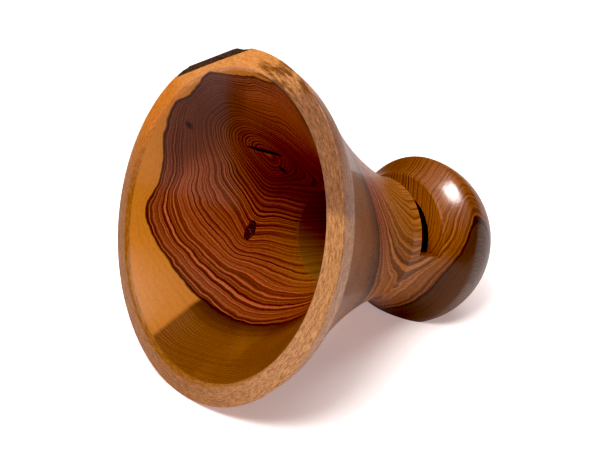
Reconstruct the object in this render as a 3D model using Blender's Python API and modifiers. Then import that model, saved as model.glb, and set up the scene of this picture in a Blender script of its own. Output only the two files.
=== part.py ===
"""Turned wooden phone horn: a flared bell and a slotted ball on one axis, lying on its rim and its foot.

The horn is modelled along its own turning axis and then laid down. In that axis frame +Z runs along the
axis to the mouth, +Y is the side that faces up, and the origin is the centre of the ball.
"""
from math import asin, atan2, cos, pi, radians, sin, sqrt

import bpy
from mathutils import Matrix, Vector
from mathutils.geometry import interpolate_bezier

# Driving dimensions, in metres. Positions along the axis are measured from the ball's centre.
BALL_R = 0.045
FOOT_R = 0.0239
BORE_R = 0.0248
BORE_END = -0.014
THROAT_AT = 0.056
RIM_OUTER_R = 0.0805
RIM_OUTER_AT = 0.1293
RIM_INNER_R = 0.0715
RIM_INNER_AT = 0.1306
RIM_BACK_R = 0.0765
RIM_BACK_AT = 0.1193
NECK_R = 0.0318
NECK_AT = 0.030
BALL_JOIN_AT = -0.003
SLOT_BACK = 0.0115
SLOT_FRONT = 0.0238
SLOT_FLOOR = -0.0002
WANE_R = 0.0746
WANE_ANGLE = radians(113)
BARK_THICKNESS = 0.0028
BARK_BACK = 0.112
KNOT_R = 0.0023
KNOT_AT = Vector((-0.0341, -0.0097, 0.0794))
KNOT_RUN = Vector((-0.20, -0.98, 0.0)).normalized()
KNOT_DEPTH = 0.016
FIT_GAP = 0.0003
STEPS = 56
LONG = 0.16

# Where the axis lies: the ball stands on its foot flat, and the rim's lowest point touches the floor.
BALL_HEIGHT = sqrt(BALL_R**2 - FOOT_R**2)
TILT = atan2(RIM_OUTER_R, RIM_OUTER_AT) - asin(BALL_HEIGHT / sqrt(RIM_OUTER_R**2 + RIM_OUTER_AT**2))
REACH_FRONT = RIM_OUTER_AT * cos(TILT) + RIM_OUTER_R * sin(TILT)
BALL_Y = (REACH_FRONT - BALL_R) / 2

WOOD = (0.36, 0.15, 0.05, 1.0)
BARK = (0.13, 0.08, 0.05, 1.0)
KNOT = (0.05, 0.02, 0.012, 1.0)


def clear_scene():
    """Remove every object that the new file came with."""
    for obj in list(bpy.data.objects):
        bpy.data.objects.remove(obj, do_unlink=True)


def new_collection(name):
    """Add a collection to the scene."""
    collection = bpy.data.collections.new(name)
    bpy.context.scene.collection.children.link(collection)
    return collection


def material(name, colour, roughness):
    """Make a plain Principled material."""
    mat = bpy.data.materials.new(name)
    mat.use_nodes = True
    shader = mat.node_tree.nodes["Principled BSDF"]
    shader.inputs["Base Color"].default_value = colour
    shader.inputs["Roughness"].default_value = roughness
    shader.inputs["Metallic"].default_value = 0.0
    return mat


def bezier(start, handle_a, handle_b, end, count):
    """List count points of a cubic curve between two (radius, axial) points, ends included."""
    knots = [Vector((r, 0.0, z)) for r, z in (start, handle_a, handle_b, end)]
    return [(p.x, p.z) for p in interpolate_bezier(*knots, count)]


def arc(radius, start, end, count):
    """List count points of an arc about the ball's centre, as (radius, axial), ends included."""
    angles = [start + (end - start) * i / (count - 1) for i in range(count)]
    return [(radius * cos(a), radius * sin(a)) for a in angles]


def flare_curve():
    """The outside of the bell, from the back of the rim down to the neck."""
    return bezier((RIM_BACK_R, RIM_BACK_AT), (0.054, 0.0893), (0.037, 0.055), (NECK_R, NECK_AT), 13)


def outside():
    """The outside, from the rim's outer edge down the bell, over the neck and round the ball."""
    join_r = sqrt(BALL_R**2 - BALL_JOIN_AT**2)
    shoulder = bezier((NECK_R, NECK_AT), (0.0305, 0.006), (0.045, 0.003), (join_r, BALL_JOIN_AT), 9)
    ball = arc(BALL_R, atan2(BALL_JOIN_AT, join_r), -pi / 2, 10)
    points = [(RIM_OUTER_R, RIM_OUTER_AT)] + flare_curve() + shoulder[1:] + ball[1:]
    points[-1] = (0.0, -BALL_R)
    return points


def inside():
    """The inside, from the blind end of the bore up through the throat to the rim's inner edge."""
    bell = bezier((BORE_R, THROAT_AT), (0.032, 0.078), (0.050, 0.104), (RIM_INNER_R, RIM_INNER_AT), 11)
    return [(0.0, BORE_END), (BORE_R, BORE_END)] + bell


def turned(name, points, collection, axis):
    """Spin a profile of (radius, axial) points round the turning axis."""
    mesh = bpy.data.meshes.new(name)
    verts = [(r, 0.0, z) for r, z in points]
    mesh.from_pydata(verts, [(i, i + 1) for i in range(len(verts) - 1)], [])
    obj = bpy.data.objects.new(name, mesh)
    collection.objects.link(obj)
    obj.parent = axis
    screw = obj.modifiers.new("Screw", "SCREW")
    screw.axis = "Z"
    screw.steps = STEPS
    screw.render_steps = STEPS
    screw.use_merge_vertices = True
    screw.merge_threshold = 0.00001
    return obj


def adopt(obj, name, collection, axis):
    """Name a new primitive, apply its transform, and move it to a collection and a parent."""
    obj.name = name
    obj.data.name = name
    obj.data.transform(obj.matrix_world)
    obj.matrix_world = Matrix.Identity(4)
    for old in list(obj.users_collection):
        old.objects.unlink(obj)
    collection.objects.link(obj)
    obj.parent = axis
    return obj


def box(name, low, high, turn, collection, axis):
    """Make a box between two corners, turned about the Z axis of its parent."""
    low = Vector(low)
    high = Vector(high)
    bpy.ops.mesh.primitive_cube_add(size=1.0)
    obj = bpy.context.object
    place = Matrix.Rotation(turn, 4, "Z") @ Matrix.Translation((low + high) / 2)
    obj.matrix_world = place @ Matrix.Diagonal((*(high - low), 1.0))
    return adopt(obj, name, collection, axis)


def rod(name, radius, start, end, collection, axis):
    """Make a closed cylinder between two points."""
    run = end - start
    bpy.ops.mesh.primitive_cylinder_add(vertices=24, radius=radius, depth=run.length)
    obj = bpy.context.object
    obj.matrix_world = Matrix.Translation((start + end) / 2) @ run.to_track_quat("Z", "Y").to_matrix().to_4x4()
    return adopt(obj, name, collection, axis)


def boolean(obj, cutter, operation):
    """Cut obj with cutter, or keep what they share, and hide the cutter."""
    modifier = obj.modifiers.new(cutter.name, "BOOLEAN")
    modifier.operation = operation
    modifier.solver = "EXACT"
    modifier.object = cutter
    cutter.display_type = "WIRE"
    cutter.hide_render = True


def turned_body(parts, cutters, axis):
    """Turn the horn, then cut the phone slot, the foot flat, the log's flat and the knot's socket."""
    body = turned("turned_body", inside() + outside(), parts, axis)
    slot = box(
        "slot_cut", (-LONG / 2, SLOT_FLOOR, SLOT_BACK), (LONG / 2, LONG / 2, SLOT_FRONT), 0.0, cutters, axis
    )
    wane = box(
        "wane_cut",
        (WANE_R, -LONG / 2, RIM_OUTER_AT - LONG / 4),
        (WANE_R + LONG / 4, LONG / 2, RIM_OUTER_AT + LONG / 4),
        WANE_ANGLE,
        cutters,
        axis,
    )
    foot = box(
        "foot_cut",
        (-LONG / 3, BALL_Y - LONG / 3, -LONG / 3),
        (LONG / 3, BALL_Y + LONG / 3, 0.0),
        0.0,
        cutters,
        None,
    )
    socket = rod(
        "knot_socket",
        KNOT_R + FIT_GAP,
        KNOT_AT - KNOT_RUN * KNOT_DEPTH,
        KNOT_AT + KNOT_RUN * (KNOT_DEPTH + FIT_GAP),
        cutters,
        axis,
    )
    for cutter in (slot, wane, foot, socket):
        boolean(body, cutter, "DIFFERENCE")
    body.data.materials.append(material("wood", WOOD, 0.3))
    return body


def bark_strip(parts, cutters, axis):
    """The slice of bark left on the log's flat, trimmed to the round of the rim."""
    low = WANE_R + FIT_GAP
    strip = box(
        "bark_strip",
        (low, -LONG / 2, BARK_BACK),
        (low + BARK_THICKNESS, LONG / 2, RIM_OUTER_AT + BARK_THICKNESS),
        WANE_ANGLE,
        parts,
        axis,
    )
    rim_points = [(0.0, RIM_OUTER_AT), (RIM_OUTER_R, RIM_OUTER_AT)] + flare_curve()
    rim_blank = turned("rim_blank", rim_points + [(0.0, NECK_AT)], cutters, axis)
    boolean(strip, rim_blank, "INTERSECT")
    strip.data.materials.append(material("bark", BARK, 0.85))
    return strip


def knot(parts, cutters, axis):
    """The dead branch stub in the bell's wall, cut off flush with the inside."""
    plug = rod("knot", KNOT_R, KNOT_AT - KNOT_RUN * KNOT_DEPTH, KNOT_AT + KNOT_RUN * KNOT_DEPTH, parts, axis)
    blank = turned("wall_blank", inside() + outside(), cutters, axis)
    boolean(plug, blank, "INTERSECT")
    plug.data.materials.append(material("knot", KNOT, 0.25))
    return plug


def main():
    """Build the horn and lay it down."""
    clear_scene()
    parts = new_collection("phone_horn")
    cutters = new_collection("cutters")
    axis = bpy.data.objects.new("turning_axis", None)
    parts.objects.link(axis)
    turned_body(parts, cutters, axis)
    bark_strip(parts, cutters, axis)
    knot(parts, cutters, axis)
    axis.rotation_euler = (pi / 2 - TILT, 0.0, 0.0)
    axis.location = (0.0, BALL_Y, BALL_HEIGHT)


main()
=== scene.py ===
"""A turned wooden phone horn in glossy varnish, lying on its rim and its foot on a white studio floor.

The wood pieces are built along the horn's own turning axis and then laid down as a whole. In that axis
frame +Z runs along the axis to the mouth, +Y is the side that faces up, X runs across, and the origin is
the centre of the ball. The log's grain runs along the same axis, so the wood is coloured in it as well.
"""
import random
from math import asin, atan2, cos, pi, radians, sin, sqrt
from types import SimpleNamespace

import bmesh
import bpy
from mathutils import Matrix, Vector
from mathutils.geometry import interpolate_bezier
from mathutils.noise import noise

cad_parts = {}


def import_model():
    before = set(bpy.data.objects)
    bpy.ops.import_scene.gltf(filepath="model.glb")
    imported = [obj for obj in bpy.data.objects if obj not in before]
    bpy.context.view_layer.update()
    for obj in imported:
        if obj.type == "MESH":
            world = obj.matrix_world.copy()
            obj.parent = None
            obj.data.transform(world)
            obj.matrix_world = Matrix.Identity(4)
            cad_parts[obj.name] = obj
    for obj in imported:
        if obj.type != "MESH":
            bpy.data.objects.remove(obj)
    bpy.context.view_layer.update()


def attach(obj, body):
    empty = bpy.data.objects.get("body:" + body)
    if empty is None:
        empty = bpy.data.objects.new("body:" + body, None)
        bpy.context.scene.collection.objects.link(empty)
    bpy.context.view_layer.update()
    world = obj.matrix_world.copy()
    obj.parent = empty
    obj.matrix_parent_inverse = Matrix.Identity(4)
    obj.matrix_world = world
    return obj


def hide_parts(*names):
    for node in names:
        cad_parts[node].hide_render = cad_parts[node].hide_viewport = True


MM = 0.001

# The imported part's own dimensions, in metres, along the turning axis.
BALL_R = 0.045
FOOT_R = 0.0239
BORE_R = 0.0248
BORE_END = -0.014
THROAT_AT = 0.056
RIM_OUTER_R = 0.0805
RIM_OUTER_AT = 0.1293
RIM_INNER_R = 0.0715
RIM_INNER_AT = 0.1306
RIM_BACK_R = 0.0765
RIM_BACK_AT = 0.1193
NECK_R = 0.0318
NECK_AT = 0.030
BALL_JOIN_AT = -0.003
SLOT_BACK = 0.0115
SLOT_FRONT = 0.0238
SLOT_FLOOR = -0.0002
WANE_R = 0.0746
WANE_ANGLE = radians(113)
BARK_THICKNESS = 0.0028
BARK_BACK = 0.112
KNOT_AT = Vector((-0.0341, -0.0097, 0.0794))
KNOT_RUN = Vector((-0.20, -0.98, 0.0)).normalized()
KNOT_DEPTH = 0.016
FIT_GAP = 0.0003
BALL_HEIGHT = sqrt(BALL_R**2 - FOOT_R**2)
TILT = atan2(RIM_OUTER_R, RIM_OUTER_AT) - asin(BALL_HEIGHT / sqrt(RIM_OUTER_R**2 + RIM_OUTER_AT**2))
BALL_Y = (RIM_OUTER_AT * cos(TILT) + RIM_OUTER_R * sin(TILT) - BALL_R) / 2
LAY_DOWN = Matrix.Translation((0.0, BALL_Y, BALL_HEIGHT)) @ Matrix.Rotation(pi / 2 - TILT, 4, "X")

# Edges that sanding has eased, in metres.
LIP_EASE = 0.0010
RIM_EASE = 0.0008
BACK_EASE = 0.0020
SLOT_EASE = 0.0005
THROAT_EASE = 0.0008
BORE_END_EASE = 0.002

# The slot's cutter: where its back wall leaves the wood, how far both walls open out from there, away from
# the axis and along it, and how far it reaches.
SLOT_BACK_R = 0.0348
SLOT_BACK_OUT = 0.0024
SLOT_BACK_OPEN = 0.0015
SLOT_FRONT_OUT = 0.0016
SLOT_FRONT_OPEN = 0.0016
SLOT_REACH = 0.06

# How far the plain cutters reach, well past the wood that they take away.
WANE_CUT = 0.04
FOOT_CUT = 0.05

# The branch stub is an oval here, slimmer across the grain than the part's plain round one.
KNOT_R = 0.0017
KNOT_OVAL = 1.45
KNOT_GAP = 0.0002
KNOT_SIDES = 48

# The bark: its flat side, the log's round that its skin follows, how rough that is, with the coarse and the
# fine noise as (scale across, scale along, seed), and its mesh before trimming.
BARK_LOW = WANE_R + FIT_GAP
BARK_ROUND = 0.0795
BARK_ROUGH = 0.0006
BARK_COARSE = (170, 90, 3.0)
BARK_FINE = (700, 380, 8.0)
BARK_THINNEST = 0.0001
BARK_FRONT = RIM_OUTER_AT + 0.001
BARK_HALF = 0.034
BARK_COLUMNS = 120
BARK_ROWS = 26

# The drying crack at the pith, on the inside wall of the bell.
CRACK_FROM = Vector((-0.0314, 0.0335, 0.0962))
CRACK_TO = Vector((-0.0178, 0.0328, 0.0832))
CRACK_ACROSS = Vector((0.0, 1.0, 0.0))
CRACK_WIDTH = 0.0017
CRACK_DEPTH = 0.0045
CRACK_BULGE = 0.7
CRACK_RAGGED = (0.6, 1.15)
CRACK_STEPS = 9
CRACK_SEED = 4

TURN_STEPS = 288
CURVE_STEPS = 50
SHOULDER_STEPS = 32
BALL_STEPS = 44
EASE_STEPS = 6

# The log, in millimetres: where its pith runs, and how far the heartwood reaches from it, as (degrees,
# radius) on a curve whose full scale is HEART_REACH.
PITH = (-25.0, 33.0)
HEART_REACH = 100.0
HEART_RADIUS = (
    (-180, 34.5), (-152, 43), (-132, 58), (-108, 70.5), (-82, 80), (-55, 85), (-32, 81),
    (0, 68), (27, 63), (50, 46), (76, 33.5), (97, 31), (127, 26.5), (150, 29), (180, 34.5),
)

# The rings: how many the heartwood has, how many they drift by, how many finer ones each has, the heartwood
# radius that the round ones at the pith are spaced for, and how darkness builds up over one ring.
HEART_RINGS = 35.0
RING_DRIFT = 1.2
FINE_RINGS = 2.7
ROUND_RINGS = 46.0
RING_DARKNESS = ((0.0, 0.15), (0.2, 0.0), (0.5, 0.25), (0.78, 0.85), (0.9, 0.9), (1.0, 0.15))
FINE_DARKNESS = ((0.0, 0.0), (0.6, 0.6), (0.8, 1.0), (1.0, 0.0))

# The knot draws the rings out with it: by how many millimetres, over how many square millimetres, and the
# factor for distances along the grain.
KNOT_DRAW = 5.0
KNOT_SPREAD = 38.0
KNOT_ALONG = 0.7

# Factors that draw a pattern out along the grain. ACROSS leaves that direction out altogether.
ACROSS = (1.0, 1.0, 0.0)
RING_GRAIN = (1.0, 1.0, 0.2)
WAVE_GRAIN = (1.0, 1.0, 0.35)
FIBRE_GRAIN = (1.0, 1.0, 0.03)
PORE_GRAIN = (1.0, 1.0, 0.06)

# Long waves in the grain: (noise scale, reach in millimetres).
WAVES = ((0.022, 6.0), (0.07, 1.9), (0.22, 0.8))

# Pin knots: (x, y, radius) in the log's cross-section, in millimetres.
PIN_KNOTS = ((-22.9, 25.3, 1.0), (-50.0, 37.1, 1.1))

# Where one colour gives way to the next: along the axis and out from it in millimetres, and round the pith.
GOLDEN_AT = (5.0, 25.0)
REDDISH_AT = (52.0, 76.0)
BORE_SHADE_AT = (15.0, 25.0)
RIM_FACE_AT = (128.5, 129.1)
RIM_SIDE_AT = (75.5, 77.5)
BROWN_SAP_START = (radians(-93.5), radians(-91.5))
BROWN_SAP_STOP = (radians(26), radians(34))

# Colours as display values from 0 to 255. A pair runs from the first one to the second.
AMBER = ((118, 60, 20), (156, 88, 32))
GOLDEN = ((134, 76, 34), (180, 110, 50))
REDDISH = ((108, 51, 31), (180, 94, 58))
PITH_BROWN = (74, 42, 22)
FINE_LINE = (78, 36, 11)
DARK_LINE = (46, 20, 11)
MARGIN = (44, 20, 15)
PIN_KNOT = (20, 9, 5)
HEART_EDGE = (30, 12, 7)
YELLOW_SAP = ((172, 105, 40), (126, 68, 20))
BROWN_SAP = ((122, 72, 34), (70, 37, 15))
BROWN_SAP_PATCH = (150, 92, 42)
BROWN_SAP_LINE = (62, 32, 14)
DARK_SAP = (38, 20, 11)
FIBRE = (40, 17, 6)
PORE = (30, 12, 5)
# The bore's pair runs from painted shade deep in the ball to painted light in the neck.
BORE = ((24, 15, 10), (140, 100, 60))
# The rim's tans, lighter or darker by where they lie round it, are painted light and shade on its flat face.
RIM_LOW = ((124, 82, 50), (190, 135, 88))
RIM_TOP = ((172, 108, 56), (206, 140, 80))
RIM_LEFT = ((160, 88, 28), (196, 118, 48))
RIM_LOW_LEFT = ((104, 56, 12), (148, 88, 24))
RIM_RIGHT_SHADE = ((84, 54, 36), (156, 108, 76))
RIM_STAIN = (88, 49, 25)
BARK = ((24, 14, 10), (72, 47, 31))
KNOT = ((30, 15, 9), (104, 56, 32))

# The studio: the floor's painted glow goes from one strength to the other between two distances, in metres.
FLOOR_HALF = 12.0
GLOW_BETWEEN = (0.35, 2.2)
GLOW_STRENGTH = (0.31, 1.0)
CAMERA_AT = (0.3430, -0.3122, 0.2404)
CAMERA_TARGET = (-0.0003, -0.0227, 0.0648)
CAMERA_LENS = 59.94
CAMERA_SENSOR = 36.0
EXPOSURE = 0.35
BLACK_LEVEL = 0.016


def link(name, data):
    """Put a mesh, a light or a camera in the scene as a new object."""
    obj = bpy.data.objects.new(name, data)
    bpy.context.scene.collection.objects.link(obj)
    return obj


def from_bmesh(name, bm):
    """Turn a bmesh into a new object in the scene."""
    mesh = bpy.data.meshes.new(name)
    bm.to_mesh(mesh)
    bm.free()
    return link(name, mesh)


def turn_profile(name, profile, sweep=2 * pi):
    """Spin a line of (radius, axial) points that starts and ends on the axis; a part turn is capped flat."""
    full = sweep == 2 * pi
    steps = TURN_STEPS if full else TURN_STEPS // 2
    bm = bmesh.new()
    ends = [bm.verts.new((0.0, 0.0, profile[0][1])), bm.verts.new((0.0, 0.0, profile[-1][1]))]
    lines = []
    for i in range(steps if full else steps + 1):
        a = sweep * i / steps
        ring = [bm.verts.new((r * cos(a), r * sin(a), z)) for r, z in profile[1:-1]]
        lines.append([ends[0]] + ring + [ends[1]])
    if not full:
        bm.faces.new(lines[0])
        bm.faces.new(lines[-1])
    pairs = list(zip(lines, lines[1:]))
    if full:
        pairs.append((lines[-1], lines[0]))
    for near, far in pairs:
        for i in range(len(near) - 1):
            corners = [near[i], near[i + 1], far[i + 1], far[i]]
            bm.faces.new(list(dict.fromkeys(corners)))
    bmesh.ops.recalc_face_normals(bm, faces=bm.faces)
    return from_bmesh(name, bm)


def bezier(start, handle_a, handle_b, end, count):
    """List count points of a cubic curve between two (radius, axial) points, ends included."""
    knots = [Vector((r, 0.0, z)) for r, z in (start, handle_a, handle_b, end)]
    return [(p.x, p.z) for p in interpolate_bezier(*knots, count)]


def eased(before, corner, after, reach):
    """Points that round off the corner between two straight or nearly straight runs."""
    b, c, a = (Vector(p) for p in (before, corner, after))
    start = c + (b - c).normalized() * reach
    end = c + (a - c).normalized() * reach
    points = []
    for i in range(EASE_STEPS + 1):
        t = i / EASE_STEPS
        points.append(tuple(start * (1 - t) ** 2 + c * 2 * t * (1 - t) + end * t**2))
    return points


def flare_curve():
    """The outside of the bell, from the back of the rim down to the neck."""
    return bezier((RIM_BACK_R, RIM_BACK_AT), (0.054, 0.0893), (0.037, 0.055), (NECK_R, NECK_AT), CURVE_STEPS)


def bell_curve():
    """The inside of the bell, from the throat up to the rim's inner edge."""
    throat = (BORE_R, THROAT_AT)
    return bezier(throat, (0.032, 0.078), (0.050, 0.104), (RIM_INNER_R, RIM_INNER_AT), CURVE_STEPS)


def rim_and_flare():
    """The rim's lip, its outer edge, and its back with the outside of the bell, all with eased corners."""
    inner = (RIM_INNER_R, RIM_INNER_AT)
    outer = (RIM_OUTER_R, RIM_OUTER_AT)
    back = (RIM_BACK_R, RIM_BACK_AT)
    flare = flare_curve()
    lip = eased(bell_curve()[-2], inner, outer, LIP_EASE)
    edge = eased(inner, outer, back, RIM_EASE)
    heel = eased(outer, back, flare[2], BACK_EASE)
    return lip, edge, heel + flare[2:]


def ball_outline():
    """The outside from the neck over the shoulder and round the ball, up to its end on the axis."""
    join_r = sqrt(BALL_R**2 - BALL_JOIN_AT**2)
    join = (join_r, BALL_JOIN_AT)
    shoulder = bezier((NECK_R, NECK_AT), (0.0305, 0.006), (0.045, 0.003), join, SHOULDER_STEPS)
    start = atan2(BALL_JOIN_AT, join_r)
    angles = [start + (-pi / 2 - start) * i / BALL_STEPS for i in range(1, BALL_STEPS)]
    ball = [(BALL_R * cos(a), BALL_R * sin(a)) for a in angles]
    return shoulder[1:] + ball + [(0.0, -BALL_R)]


def horn_profile():
    """The whole outline, from the blind end of the bore out over the rim and back to the ball's end."""
    lip, edge, flare = rim_and_flare()
    bell = bell_curve()
    bore_corner = eased((0.0, BORE_END), (BORE_R, BORE_END), (BORE_R, THROAT_AT), BORE_END_EASE)
    throat = eased((BORE_R, BORE_END), (BORE_R, THROAT_AT), bell[2], THROAT_EASE)
    inside = [(0.0, BORE_END)] + bore_corner + throat + bell[2:-1]
    return inside + lip + edge + flare + ball_outline()


def slab(name, low, high, turn):
    """A box between two corners, turned about the axis."""
    bm = bmesh.new()
    bmesh.ops.create_cube(bm, size=1.0)
    low = Vector(low)
    high = Vector(high)
    size = Matrix.Diagonal((*(high - low), 1.0))
    place = Matrix.Rotation(turn, 4, "Z") @ Matrix.Translation((low + high) / 2)
    bmesh.ops.transform(bm, matrix=place @ size, verts=bm.verts)
    return from_bmesh(name, bm)


def slot_cutter():
    """The half disc that the phone's slot is cut with, opened out a little where it leaves the wood."""
    back_r = SLOT_BACK_R - SLOT_EASE
    front_r = NECK_R - SLOT_EASE
    open_back = SLOT_BACK - SLOT_BACK_OPEN
    open_front = SLOT_FRONT + SLOT_FRONT_OPEN
    profile = [
        (0.0, SLOT_BACK),
        (back_r, SLOT_BACK),
        (back_r + SLOT_BACK_OUT, open_back),
        (SLOT_REACH, open_back),
        (SLOT_REACH, open_front),
        (front_r + SLOT_FRONT_OUT, open_front),
        (front_r, SLOT_FRONT),
        (0.0, SLOT_FRONT),
    ]
    cutter = turn_profile("slot_cutter", profile, pi)
    cutter.location.y = SLOT_FLOOR
    return cutter


def wane_cutter():
    """The flat on the rim where the log was too narrow."""
    low = (WANE_R, -2 * WANE_CUT, RIM_OUTER_AT - WANE_CUT)
    high = (WANE_R + WANE_CUT, 2 * WANE_CUT, RIM_OUTER_AT + WANE_CUT)
    return slab("wane_cutter", low, high, WANE_ANGLE)


def foot_cutter():
    """The floor under the ball, as the horn lies on it."""
    cutter = slab("foot_cutter", (-FOOT_CUT, -FOOT_CUT, -FOOT_CUT), (FOOT_CUT, FOOT_CUT, 0.0), 0.0)
    cutter.matrix_world = LAY_DOWN.inverted() @ Matrix.Translation((0.0, BALL_Y, 0.0))
    return cutter


def knot_bar(name, radius, reach):
    """An oval bar along the knot, wider along the grain than across it, which reaches both ways."""
    run = KNOT_RUN * 2 * reach
    bm = bmesh.new()
    bmesh.ops.create_cone(
        bm, cap_ends=True, segments=KNOT_SIDES, radius1=radius, radius2=radius, depth=run.length
    )
    turn = run.to_track_quat("Z", "Y").to_matrix().to_4x4()
    bmesh.ops.transform(bm, matrix=turn, verts=bm.verts)
    bar = from_bmesh(name, bm)
    bar.data.transform(Matrix.Translation(KNOT_AT) @ Matrix.Diagonal((1.0, 1.0, KNOT_OVAL, 1.0)))
    return bar


def crack_outline():
    """The corners of a ragged lens along the pith."""
    rng = random.Random(CRACK_SEED)
    run = CRACK_TO - CRACK_FROM
    outline = []
    for side, steps in ((1, range(CRACK_STEPS)), (-1, range(CRACK_STEPS, 0, -1))):
        for i in steps:
            t = i / CRACK_STEPS
            width = CRACK_WIDTH / 2 * (4 * t * (1 - t)) ** CRACK_BULGE * rng.uniform(*CRACK_RAGGED)
            outline.append(CRACK_FROM + run * t + CRACK_ACROSS * side * width)
    return outline


def crack_cutter():
    """The drying crack, driven into the wall of the bell."""
    inward = (CRACK_TO - CRACK_FROM).cross(CRACK_ACROSS).normalized()
    outline = crack_outline()
    bm = bmesh.new()
    low = [bm.verts.new(p - inward * CRACK_DEPTH) for p in outline]
    high = [bm.verts.new(p + inward * CRACK_DEPTH) for p in outline]
    bm.faces.new(low)
    bm.faces.new(high)
    for i in range(len(outline)):
        j = (i + 1) % len(outline)
        bm.faces.new((low[i], low[j], high[j], high[i]))
    bmesh.ops.recalc_face_normals(bm, faces=bm.faces)
    return from_bmesh("crack_cutter", bm)


def carve(obj, cutters, operation="DIFFERENCE"):
    """Cut obj with each cutter, or keep what they share, and throw the cutters away."""
    for cutter in cutters:
        modifier = obj.modifiers.new(cutter.name, "BOOLEAN")
        modifier.operation = operation
        modifier.solver = "EXACT"
        modifier.object = cutter
    bpy.context.view_layer.update()
    graph = bpy.context.evaluated_depsgraph_get()
    mesh = bpy.data.meshes.new_from_object(obj.evaluated_get(graph))
    obj.modifiers.clear()
    obj.data = mesh
    for cutter in cutters:
        bpy.data.objects.remove(cutter)


def smooth(obj, angle):
    """Shade smooth, with edges steeper than the angle kept sharp."""
    obj.data.polygons.foreach_set("use_smooth", [True] * len(obj.data.polygons))
    obj.data.set_sharp_from_angle(angle=angle)


def place(obj, node, slot, mat):
    """Lay a piece down with the horn, give it its finish and let it stand for its CAD node."""
    obj.data.materials.clear()
    obj.data.materials.append(mat)
    obj.data.transform(LAY_DOWN)
    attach(obj, "root")
    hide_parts(node)


def horn_wood(mat):
    """The turned horn, with its slot, foot flat, log flat, knot socket and pith crack."""
    obj = turn_profile("horn_wood", horn_profile())
    socket = knot_bar("socket_cutter", KNOT_R + KNOT_GAP, KNOT_DEPTH + KNOT_GAP)
    carve(obj, [slot_cutter(), wane_cutter(), foot_cutter(), socket, crack_cutter()])
    smooth(obj, radians(16))
    place(obj, "turned_body", "varnished_wood", mat)


def bark_noise(y, z, settings):
    """Noise over the bark's skin, on both sides of 0."""
    across, along, seed = settings
    return noise(Vector((y * across, z * along, seed)))


def bark_skin(y, z):
    """How far out the bark reaches: rough, on the log's round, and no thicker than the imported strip."""
    rough = bark_noise(y, z, BARK_COARSE) + 0.5 * bark_noise(y, z, BARK_FINE)
    skin = sqrt(BARK_ROUND**2 - y**2) + BARK_ROUGH * rough
    return max(BARK_LOW + BARK_THINNEST, min(BARK_LOW + BARK_THICKNESS, skin))


def bark_grid(bm, reach):
    """Lay out one side of the bark as a grid of corners, reach(y, z) away from the axis."""
    grid = []
    for i in range(BARK_COLUMNS + 1):
        y = -BARK_HALF + 2 * BARK_HALF * i / BARK_COLUMNS
        line = []
        for j in range(BARK_ROWS + 1):
            z = BARK_BACK + (BARK_FRONT - BARK_BACK) * j / BARK_ROWS
            line.append(bm.verts.new((reach(y, z), y, z)))
        grid.append(line)
    return grid


def bark_blank():
    """The bark before it is trimmed: a flat side, a rough skin, and a wall round the border."""
    bm = bmesh.new()
    flat = bark_grid(bm, lambda y, z: BARK_LOW)
    skin = bark_grid(bm, bark_skin)
    for grid in (flat, skin):
        for i in range(BARK_COLUMNS):
            for j in range(BARK_ROWS):
                bm.faces.new((grid[i][j], grid[i + 1][j], grid[i + 1][j + 1], grid[i][j + 1]))
    border = [(i, 0) for i in range(BARK_COLUMNS)]
    border += [(BARK_COLUMNS, j) for j in range(BARK_ROWS)]
    border += [(i, BARK_ROWS) for i in range(BARK_COLUMNS, 0, -1)]
    border += [(0, j) for j in range(BARK_ROWS, 0, -1)]
    for (i, j), (k, m) in zip(border, border[1:] + border[:1]):
        bm.faces.new((flat[i][j], flat[k][m], skin[k][m], skin[i][j]))
    bmesh.ops.recalc_face_normals(bm, faces=bm.faces)
    bmesh.ops.rotate(bm, verts=bm.verts, cent=(0, 0, 0), matrix=Matrix.Rotation(WANE_ANGLE, 3, "Z"))
    return from_bmesh("bark_edge", bm)


def bark_edge(mat):
    """The slice of bark on the log's flat, trimmed to the round of the rim."""
    obj = bark_blank()
    edge, flare = rim_and_flare()[1:]
    rim = turn_profile("rim_blank", [(0.0, RIM_OUTER_AT)] + edge + flare + [(0.0, NECK_AT)])
    carve(obj, [rim], "INTERSECT")
    smooth(obj, radians(35))
    place(obj, "bark_strip", "bark", mat)


def knot_stub(mat):
    """The dead branch in the bell's wall, cut off flush with the inside."""
    obj = knot_bar("knot_stub", KNOT_R, KNOT_DEPTH)
    carve(obj, [turn_profile("wall_blank", horn_profile())], "INTERSECT")
    smooth(obj, radians(30))
    place(obj, "knot", "knot_wood", mat)


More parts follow.
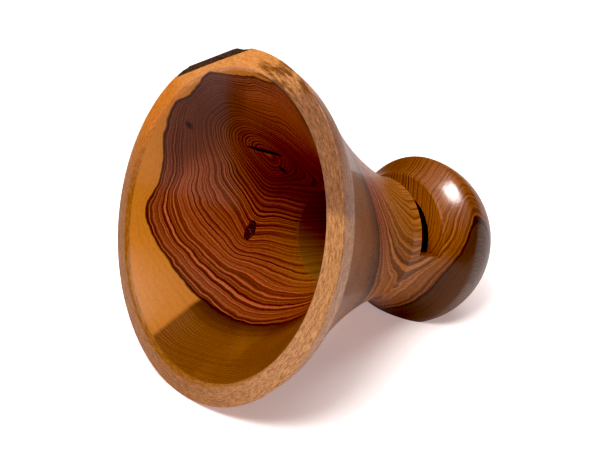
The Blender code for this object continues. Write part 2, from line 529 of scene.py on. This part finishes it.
class Nodes:
    """A material's node tree, with short ways to add and join its nodes."""

    def __init__(self, name):
        self.material = bpy.data.materials.new(name)
        self.material.use_nodes = True
        self.tree = self.material.node_tree
        self.shader = self.tree.nodes["Principled BSDF"]

    def add(self, kind, **settings):
        """Add a node and set its own settings."""
        node = self.tree.nodes.new(kind)
        for key, value in settings.items():
            setattr(node, key, value)
        return node

    def feed(self, socket, value):
        """Join an output to a socket, or set the socket to a plain value."""
        if isinstance(value, bpy.types.NodeSocket):
            self.tree.links.new(value, socket)
        else:
            socket.default_value = value

    def surface(self, values):
        """Join or set the shader's own sockets, by their names."""
        for name, value in values.items():
            self.feed(self.shader.inputs[name], value)

    def math(self, operation, *values):
        """One step of arithmetic."""
        node = self.add("ShaderNodeMath", operation=operation)
        for socket, value in zip(node.inputs, values):
            self.feed(socket, value)
        return node.outputs[0]

    def times(self, one, other):
        """The product of two numbers."""
        return self.math("MULTIPLY", one, other)

    def vector(self, operation, *values):
        """One step of vector arithmetic; a dot product or a length comes out as a number."""
        node = self.add("ShaderNodeVectorMath", operation=operation)
        for socket, value in zip(node.inputs, values):
            self.feed(socket, value)
        return node.outputs["Value" if operation in ("DOT_PRODUCT", "LENGTH") else "Vector"]

    def scaled(self, vector, amount):
        """A vector made longer or shorter by a number."""
        node = self.add("ShaderNodeVectorMath", operation="SCALE")
        self.feed(node.inputs[0], vector)
        self.feed(node.inputs["Scale"], amount)
        return node.outputs[0]

    def stretched(self, vector, factors):
        """A vector with each of its sides made longer or shorter by its own factor."""
        return self.vector("MULTIPLY", vector, factors)

    def split(self, vector):
        """A vector's three numbers."""
        node = self.add("ShaderNodeSeparateXYZ")
        self.feed(node.inputs[0], vector)
        return tuple(node.outputs)

    def noise(self, vector, scale, detail, roughness=0.5, colour=False):
        """Noise from 0 to 1, as a number or as a colour of three."""
        node = self.add("ShaderNodeTexNoise")
        self.feed(node.inputs["Vector"], vector)
        node.inputs["Scale"].default_value = scale
        node.inputs["Detail"].default_value = detail
        node.inputs["Roughness"].default_value = roughness
        return node.outputs["Color" if colour else "Fac"]

    def ramp(self, value, low, high, out_low=0.0, out_high=1.0, smooth_step=True):
        """Take a value from one range to another, clamped."""
        kind = "SMOOTHSTEP" if smooth_step else "LINEAR"
        node = self.add("ShaderNodeMapRange", interpolation_type=kind, clamp=True)
        for socket, item in zip(node.inputs, (value, low, high, out_low, out_high)):
            self.feed(socket, item)
        return node.outputs[0]

    def curve(self, value, points):
        """Read a value off a smooth curve through (x, y) points that lie between 0 and 1."""
        node = self.add("ShaderNodeFloatCurve")
        line = node.mapping.curves[0]
        line.points[0].location = points[0]
        line.points[-1].location = points[-1]
        for x, y in points[1:-1]:
            line.points.new(x, y)
        node.mapping.update()
        self.feed(node.inputs["Value"], value)
        return node.outputs[0]

    def mix(self, amount, one, other):
        """Mix two colours; sockets 0, 6 and 7 are the amount and the colours."""
        node = self.add("ShaderNodeMix", data_type="RGBA")
        for socket, value in zip((node.inputs[0], node.inputs[6], node.inputs[7]), (amount, one, other)):
            self.feed(socket, value)
        return node.outputs[2]

    def tint(self, amount, colour, display):
        """Mix a display colour into a colour."""
        return self.mix(amount, colour, srgb(*display))

    def blend(self, amount, pair):
        """Go from one display colour to another."""
        return self.mix(amount, srgb(*pair[0]), srgb(*pair[1]))

    def bump(self, height, distance):
        """Give the shader a bump from a height."""
        node = self.add("ShaderNodeBump")
        self.feed(node.inputs["Height"], height)
        node.inputs["Distance"].default_value = distance
        node.inputs["Strength"].default_value = 1.0
        self.feed(self.shader.inputs["Normal"], node.outputs[0])


def srgb(red, green, blue):
    """A display colour from 0 to 255 as a linear one."""
    linear = []
    for value in (red, green, blue):
        v = value / 255
        linear.append(v / 12.92 if v <= 0.04045 else ((v + 0.055) / 1.055) ** 2.4)
    return (*linear, 1.0)


def millimetres(nodes):
    """The point in the log, in millimetres in the axis frame."""
    mapping = nodes.add("ShaderNodeMapping", vector_type="TEXTURE")
    nodes.feed(mapping.inputs["Vector"], nodes.add("ShaderNodeTexCoord").outputs["Object"])
    mapping.inputs["Location"].default_value = LAY_DOWN.to_translation()
    mapping.inputs["Rotation"].default_value = LAY_DOWN.to_euler()
    mapping.inputs["Scale"].default_value = (MM, MM, MM)
    return mapping.outputs[0]


def wavered(nodes, point):
    """The point moved a little, in long waves that follow the grain and die away towards the pith."""
    from_pith = nodes.stretched(nodes.vector("SUBTRACT", point, (*PITH, 0.0)), ACROSS)
    amount = nodes.ramp(nodes.vector("LENGTH", from_pith), 4.0, 34.0, 0.12, 1.0)
    along = nodes.stretched(point, WAVE_GRAIN)
    moved = point
    for scale, reach in WAVES:
        wave = nodes.noise(along, scale, 1.0, colour=True)
        centred = nodes.vector("SUBTRACT", wave, (0.5, 0.5, 0.5))
        step = nodes.stretched(centred, (reach, reach, 0.0))
        moved = nodes.vector("ADD", moved, nodes.scaled(step, amount))
    return moved


def knot_pull(nodes, point):
    """How strongly the knot draws the rings out with it, from 0 to 1."""
    here = nodes.vector("SUBTRACT", point, tuple(KNOT_AT / MM))
    side = nodes.vector("DOT_PRODUCT", here, (KNOT_RUN.y, -KNOT_RUN.x, 0.0))
    along = nodes.vector("DOT_PRODUCT", here, (0.0, 0.0, KNOT_ALONG))
    square = nodes.math("ADD", nodes.times(side, side), nodes.times(along, along))
    return nodes.math("EXPONENT", nodes.times(square, -1 / KNOT_SPREAD))


def heart_radius(nodes, turn, z):
    """How far the heartwood reaches from the pith in the direction turn, from 0 to 1: less in the ball."""
    points = [((a + 180) / 360, r / HEART_REACH) for a, r in HEART_RADIUS]
    heart = nodes.times(nodes.curve(turn, points), HEART_REACH)
    return nodes.times(heart, nodes.ramp(z, -40.0, 60.0, 0.84, 1.0, smooth_step=False))


def place_in_log(nodes):
    """Where a point of the horn lies in the log, as sockets in millimetres, radians and turns.

    reach and angle go out from the pith and round it, turn is that angle from 0 to 1, heart is how far the
    heartwood reaches there, outside is how far the point lies past it, and radius goes out from the axis.
    """
    point = millimetres(nodes)
    x, y, z = nodes.split(wavered(nodes, point))
    x = nodes.math("SUBTRACT", x, PITH[0])
    y = nodes.math("SUBTRACT", y, PITH[1])
    reach = nodes.math("SQRT", nodes.math("ADD", nodes.times(x, x), nodes.times(y, y)))
    reach = nodes.math("SUBTRACT", reach, nodes.times(knot_pull(nodes, point), KNOT_DRAW))
    angle = nodes.math("ARCTAN2", y, x)
    turn = nodes.math("MULTIPLY_ADD", angle, 1 / (2 * pi), 0.5)
    heart = heart_radius(nodes, turn, z)
    return SimpleNamespace(
        point=point,
        z=z,
        reach=reach,
        angle=angle,
        turn=turn,
        heart=heart,
        outside=nodes.math("SUBTRACT", reach, heart),
        radius=nodes.vector("LENGTH", nodes.stretched(point, ACROSS)),
    )


def ring_count(nodes, log):
    """How many rings lie between the pith and here: round at the pith, the heartwood's shape further out."""
    oval = nodes.times(nodes.math("SUBTRACT", log.heart, ROUND_RINGS), nodes.ramp(log.reach, 0.0, 32.0))
    share = nodes.math("DIVIDE", log.reach, nodes.math("ADD", oval, ROUND_RINGS))
    drift = nodes.noise(nodes.stretched(log.point, RING_GRAIN), 0.035, 0.0)
    return nodes.math("ADD", nodes.times(share, HEART_RINGS), nodes.times(drift, RING_DRIFT))


def add_rings(nodes, log):
    """Add the rings to the log: dark lines, finer ones between them, bands of colour, and patches."""
    count = ring_count(nodes, log)
    year = nodes.add("ShaderNodeTexWhiteNoise", noise_dimensions="1D")
    nodes.feed(year.inputs["W"], nodes.math("FLOOR", count))
    log.patch = nodes.noise(nodes.stretched(log.point, RING_GRAIN), 0.05, 2.0)
    by_year = nodes.ramp(year.outputs["Value"], 0.0, 0.8, 0.3, 1.0)
    depth = nodes.times(by_year, nodes.ramp(log.patch, 0.3, 0.6, 0.7, 1.0))
    log.line = nodes.times(nodes.curve(nodes.math("FRACT", count), RING_DARKNESS), depth)
    log.fine = nodes.curve(nodes.math("FRACT", nodes.times(count, FINE_RINGS)), FINE_DARKNESS)
    bands = nodes.add("ShaderNodeTexNoise", noise_dimensions="1D")
    nodes.feed(bands.inputs["W"], nodes.times(count, 0.45))
    log.band = nodes.ramp(bands.outputs["Fac"], 0.38, 0.62)


def heart_margin(nodes, log):
    """How much the heartwood darkens towards its edge: broad and strong at the upper left, or slight."""
    # The upper left lies on both sides of where turn goes from 1 back to 0.
    before = nodes.ramp(log.turn, 0.6, 0.8)
    after = nodes.ramp(log.turn, 0.0, 0.16, 1.0, 0.0)
    upper_left = nodes.math("MAXIMUM", before, after)
    breadth = nodes.ramp(upper_left, 0.0, 1.0, 6.0, 26.0)
    edge_share = nodes.math("DIVIDE", log.outside, breadth)
    return nodes.times(nodes.ramp(edge_share, -1.0, -0.25), nodes.ramp(upper_left, 0.0, 1.0, 0.3, 0.64))


def pin_knots(nodes, log, colour):
    """Dot the small dark knots on a colour."""
    for x, y, radius in PIN_KNOTS:
        off = nodes.stretched(nodes.vector("SUBTRACT", log.point, (x, y, 0.0)), (1.0, 0.7, 0.0))
        dark = nodes.ramp(nodes.vector("LENGTH", off), radius * 0.5, radius * 1.6, 0.85, 0.0)
        colour = nodes.tint(dark, colour, PIN_KNOT)
    return colour


def heartwood(nodes, log):
    """Amber in the ball, golden in the neck and reddish in the bell, with rings and a dark margin."""
    colour = nodes.blend(log.band, AMBER)
    colour = nodes.mix(nodes.ramp(log.z, *GOLDEN_AT), colour, nodes.blend(log.band, GOLDEN))
    colour = nodes.mix(nodes.ramp(log.z, *REDDISH_AT), colour, nodes.blend(log.band, REDDISH))
    colour = nodes.tint(nodes.ramp(log.reach, 12.0, 40.0, 0.45, 0.0), colour, PITH_BROWN)
    colour = nodes.tint(nodes.times(log.fine, 0.3), colour, FINE_LINE)
    line = nodes.times(log.line, nodes.ramp(log.z, 50.0, 85.0, 0.75, 1.0))
    colour = nodes.tint(line, colour, DARK_LINE)
    colour = nodes.tint(heart_margin(nodes, log), colour, MARGIN)
    return pin_knots(nodes, log, colour)


def brown_sapwood(nodes, log):
    """The brown sapwood, with its rings and paler patches, and darker towards the ball."""
    brown = nodes.blend(nodes.times(log.fine, 0.6), BROWN_SAP)
    brown = nodes.tint(nodes.ramp(log.patch, 0.45, 0.75, 0.0, 0.35), brown, BROWN_SAP_PATCH)
    brown = nodes.tint(nodes.ramp(log.z, 5.0, 40.0, 0.15, 0.0), brown, DARK_SAP)
    return nodes.tint(nodes.times(log.line, 0.3), brown, BROWN_SAP_LINE)


def sapwood(nodes, log):
    """Yellow on the left, brown from the bottom round to the right, and the rim's end grain in painted light
    and shade.
    """
    yellow = nodes.blend(nodes.times(log.line, 0.22), YELLOW_SAP)
    brown_share = nodes.ramp(log.angle, *BROWN_SAP_START)
    brown_share = nodes.times(brown_share, nodes.ramp(log.angle, *BROWN_SAP_STOP, 1.0, 0.0))
    colour = nodes.mix(brown_share, yellow, brown_sapwood(nodes, log))
    halo_share = nodes.math("DIVIDE", log.outside, nodes.ramp(log.z, 10.0, 60.0, 30.0, 9.0))
    halo = nodes.times(nodes.ramp(halo_share, 0.0, 1.0, 0.7, 0.0), brown_share)
    colour = nodes.tint(halo, colour, DARK_SAP)
    on_face = nodes.ramp(log.z, *RIM_FACE_AT)
    on_side = nodes.ramp(log.radius, *RIM_SIDE_AT, 0.0, 0.75)
    return nodes.mix(nodes.math("MAXIMUM", on_face, on_side), colour, rim_colour_with_painted_light(nodes, log))


def round_rim(nodes, point):
    """The point unrolled round the axis and shortened that way, so that noise comes out in strokes."""
    x, y, z = nodes.split(point)
    spin = nodes.math("WRAP", nodes.math("ARCTAN2", y, x), WANE_ANGLE, WANE_ANGLE - 2 * pi)
    join = nodes.add("ShaderNodeCombineXYZ")
    nodes.feed(join.inputs[0], nodes.times(spin, 16.0))
    nodes.feed(join.inputs[1], nodes.vector("LENGTH", nodes.stretched(point, ACROSS)))
    nodes.feed(join.inputs[2], z)
    return join.outputs[0]


def rim_colour_with_painted_light(nodes, log):
    """The rim's end grain: tan in painted light and shade round it, duller on the right, and stained in
    strokes near the top.
    """
    strokes = round_rim(nodes, log.point)
    grain = nodes.noise(strokes, 1.4, 4.0, 0.9)
    light = nodes.ramp(grain, 0.35, 0.65)
    angle = log.angle
    # Each tan is a lighter or darker copy by its place round the rim: painted light and shade.
    tan = nodes.mix(nodes.ramp(angle, 0.5, 0.9), nodes.blend(light, RIM_LOW), nodes.blend(light, RIM_TOP))
    left = nodes.math("MAXIMUM", nodes.ramp(angle, 1.9, 2.7), nodes.ramp(angle, -pi, -2.2, 1.0, 0.0))
    tan = nodes.mix(left, tan, nodes.blend(light, RIM_LEFT))
    off_low_left = nodes.math("ABSOLUTE", nodes.math("ADD", angle, radians(112)))
    tan = nodes.mix(nodes.ramp(off_low_left, 0.45, 1.4, 0.85, 0.0), tan, nodes.blend(light, RIM_LOW_LEFT))
    right = nodes.times(nodes.ramp(angle, -0.09, -0.05), nodes.ramp(angle, 0.46, 0.56, 1.0, 0.0))
    tan = nodes.mix(right, tan, nodes.blend(nodes.ramp(grain, 0.3, 0.7), RIM_RIGHT_SHADE))
    near_top = nodes.times(nodes.ramp(angle, 0.44, 0.54), nodes.ramp(angle, 0.84, 0.98, 1.0, 0.0))
    brown_share = nodes.times(nodes.ramp(nodes.noise(strokes, 0.3, 3.0, 0.65), 0.42, 0.56), near_top)
    return nodes.tint(nodes.times(brown_share, 0.85), tan, RIM_STAIN)


def paint_bore_light_and_shade(nodes, log, colour):
    """Paint light and shade into the bore: pale in the neck, nearly black in the ball."""
    bore = nodes.ramp(log.radius, BORE_R / MM, BORE_R / MM + 0.4, 1.0, 0.0)
    bore = nodes.times(bore, nodes.ramp(log.z, BORE_END / MM - 2.0, BORE_END / MM - 1.0))
    bore = nodes.times(bore, nodes.ramp(log.z, *BORE_SHADE_AT, 0.85, 0.5))
    return nodes.mix(bore, colour, nodes.blend(nodes.ramp(log.z, *BORE_SHADE_AT), BORE))


def wood():
    """Varnished heartwood with dark rings, a black line round it, and paler sapwood outside."""
    nodes = Nodes("varnished_wood")
    log = place_in_log(nodes)
    add_rings(nodes, log)
    # Fibres and pores are fine streaks along the log, which show as specks on the end grain.
    fibres = nodes.noise(nodes.stretched(log.point, FIBRE_GRAIN), 1.5, 2.0, 0.6)
    pores = nodes.noise(nodes.stretched(log.point, PORE_GRAIN), 2.2, 1.0, 0.5)
    in_sap = nodes.ramp(log.outside, -0.25, 0.25)
    colour = nodes.mix(in_sap, heartwood(nodes, log), sapwood(nodes, log))
    off_edge = nodes.ramp(nodes.math("ABSOLUTE", log.outside), 0.2, 0.7)
    colour = nodes.tint(nodes.times(nodes.math("SUBTRACT", 1.0, off_edge), 0.85), colour, HEART_EDGE)
    speck = nodes.times(nodes.ramp(fibres, 0.35, 0.75), nodes.ramp(in_sap, 0.0, 1.0, 0.30, 0.16))
    colour = nodes.tint(speck, colour, FIBRE)
    colour = nodes.tint(nodes.ramp(pores, 0.62, 0.72, 0.0, 0.2), colour, PORE)
    nodes.surface({
        # The bore's colour is painted light in the neck and painted shade in the ball.
        "Base Color": paint_bore_light_and_shade(nodes, log, colour),
        "Roughness": nodes.ramp(fibres, 0.2, 0.8, 0.5, 0.65),
        "Specular IOR Level": 0.1,
        "Coat Weight": 0.28,
        "Coat Roughness": 0.20,
        "Coat IOR": 1.5,
    })
    nodes.bump(fibres, 0.00008)
    return nodes.material


def bark():
    """Dark, dry, cracked bark."""
    nodes = Nodes("bark")
    lumps = nodes.noise(nodes.stretched(millimetres(nodes), (1.0, 1.0, 0.4)), 0.9, 5.0, 0.6)
    nodes.surface({
        "Base Color": nodes.blend(nodes.ramp(lumps, 0.35, 0.65), BARK),
        "Roughness": nodes.ramp(lumps, 0.3, 0.7, 0.65, 0.95),
    })
    nodes.bump(lumps, 0.0006)
    return nodes.material


def knot_wood():
    """Nearly black branch wood with fine rings of its own, under the same varnish."""
    nodes = Nodes("knot_wood")
    point = millimetres(nodes)
    here = nodes.vector("SUBTRACT", point, tuple(KNOT_AT / MM))
    away = nodes.vector("LENGTH", nodes.vector("CROSS_PRODUCT", here, tuple(KNOT_RUN)))
    rings = nodes.math("SINE", nodes.times(away, 9.0))
    grain = nodes.noise(point, 1.5, 3.0)
    nodes.surface({
        "Base Color": nodes.blend(nodes.times(nodes.ramp(rings, -1.0, 1.0), grain), KNOT),
        "Roughness": nodes.ramp(grain, 0.3, 0.7, 0.2, 0.35),
        "Coat Weight": 0.8,
        "Coat Roughness": 0.06,
    })
    nodes.bump(rings, 0.00005)
    return nodes.material


def floor_with_painted_glow():
    """Matt white with a painted glow, stronger further out; its pink tint is painted bounce light in the
    shadows.
    """
    nodes = Nodes("floor_with_painted_glow")
    out = nodes.vector("LENGTH", nodes.add("ShaderNodeTexCoord").outputs["Object"])
    nodes.surface({
        "Base Color": (0.9, 0.89, 0.885, 1.0),
        "Roughness": 0.7,
        "Specular IOR Level": 0.2,
        # The pink glow is painted light that lifts and tints the shadows on the floor.
        "Emission Color": (1.0, 0.77, 0.74, 1.0),
        "Emission Strength": nodes.ramp(out, *GLOW_BETWEEN, *GLOW_STRENGTH),
    })
    return nodes.material


def floor():
    """The white studio floor."""
    corners = [(x * FLOOR_HALF, y * FLOOR_HALF, 0) for x, y in ((-1, -1), (1, -1), (1, 1), (-1, 1))]
    mesh = bpy.data.meshes.new("floor")
    mesh.from_pydata(corners, [], [(0, 1, 2, 3)])
    mesh.materials.append(floor_with_painted_glow())
    link("floor", mesh)


def softbox(name, location, target, width, height, power, long_side=None):
    """A soft light aimed at a point. One with a long side is a glint: an ellipse that shows only in gloss."""
    glint = long_side is not None
    data = bpy.data.lights.new(name, "AREA")
    data.shape = "ELLIPSE" if glint else "RECTANGLE"
    data.size = width
    data.size_y = height
    data.energy = power
    obj = link(name, data)
    back = (Vector(location) - Vector(target)).normalized()
    up = back.cross(Vector(long_side if glint else (1.0, 0.0, 0.0))).normalized()
    turn = Matrix((up.cross(back), up, back)).transposed()
    obj.matrix_world = Matrix.Translation(location) @ turn.to_4x4()
    obj.visible_glossy = glint
    obj.visible_diffuse = not glint
    obj.visible_camera = False


def lights():
    """Wide soft light from above, the front and the back, and two small glints."""
    softbox("overhead", (0.10, -0.05, 1.20), (0.02, 0.0, 0.05), 0.9, 0.9, 5.5)
    softbox("front_fill", (0.30, -0.85, 1.45), (0.0, 0.0, 0.06), 0.8, 0.6, 24.0)
    softbox("back_fill", (-0.6, 1.8, 1.5), (0.0, 0.3, 0.0), 2.4, 1.4, 27.0)
    ball_side = (0.89, -0.46, 0.0)
    softbox("ball_glint", (0.070, 0.022, 0.34), (0.026, 0.056, 0.069), 0.13, 0.05, 1.8, ball_side)
    bell_side = (0.81, -0.37, -0.45)
    softbox("bell_glint", (0.20, -0.465, 0.80), (-0.05, -0.085, 0.03), 0.75, 0.10, 1.6, bell_side)


def backdrop():
    """A plain white backdrop, which only the camera sees."""
    world = bpy.data.worlds.new("backdrop")
    world.use_nodes = True
    background = world.node_tree.nodes["Background"]
    background.inputs["Color"].default_value = (1.0, 1.0, 1.0, 1.0)
    world.cycles_visibility.diffuse = False
    world.cycles_visibility.glossy = False
    bpy.context.scene.world = world


def camera():
    """The photograph's point of view."""
    data = bpy.data.cameras.new("camera")
    data.lens = CAMERA_LENS
    data.sensor_width = CAMERA_SENSOR
    data.clip_start = 0.01
    obj = link("camera", data)
    obj.location = CAMERA_AT
    obj.rotation_euler = (Vector(CAMERA_TARGET) - obj.location).to_track_quat("-Z", "Y").to_euler()
    bpy.context.scene.camera = obj


def tone():
    """Plain display tone with the blacks set a little deeper, as a product photograph has them."""
    view = bpy.context.scene.view_settings
    view.view_transform = "Standard"
    view.exposure = EXPOSURE
    view.use_curve_mapping = True
    view.curve_mapping.black_level = (BLACK_LEVEL, BLACK_LEVEL, BLACK_LEVEL)
    view.curve_mapping.update()


def main():
    """Load the frame, build the pieces round it and light them."""
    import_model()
    camera()
    horn_wood(wood())
    bark_edge(bark())
    knot_stub(knot_wood())
    floor()
    lights()
    backdrop()
    tone()


main()
